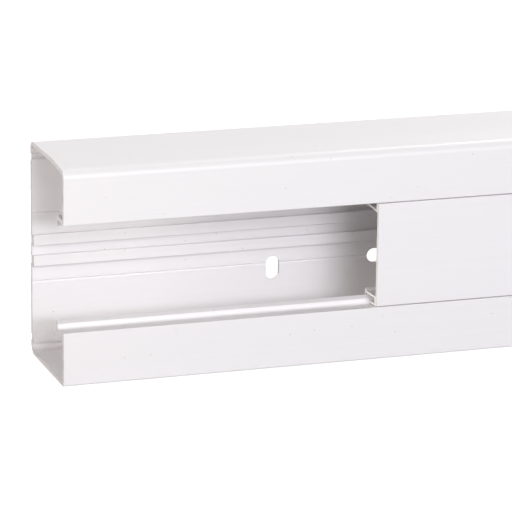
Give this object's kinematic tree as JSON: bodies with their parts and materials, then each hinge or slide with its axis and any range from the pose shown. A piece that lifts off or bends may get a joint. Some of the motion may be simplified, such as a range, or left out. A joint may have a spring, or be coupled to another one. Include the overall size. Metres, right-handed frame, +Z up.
{
  "type": "cable trunking",
  "caption": "Rigid white plastic trunking length with an open front between two flanges, rails and slots in its back wall, and a flush clip-on cover.",
  "frame": {"origin": "middle of the flat underside", "axes": "+X along the length, away from the uncovered end; -Y out of the open front; +Y to the wall; +Z up"},
  "size_m": [2, 0.055, 0.1],
  "materials": {
    "trunking_base": "rigid white PVC, extruded, satin gloss",
    "front_cover": "rigid white PVC, extruded, satin gloss"
  },
  "bodies": {
    "base": {"trunking_base": "trunking_base"},
    "cover": {"front_cover": "front_cover"}
  },
  "joints": [
    {"name": "cover_slide", "type": "slide", "parent": "base", "child": "cover", "axis": [1, 0, 0], "range_m": [-0.148, 0.3]}
  ]
}
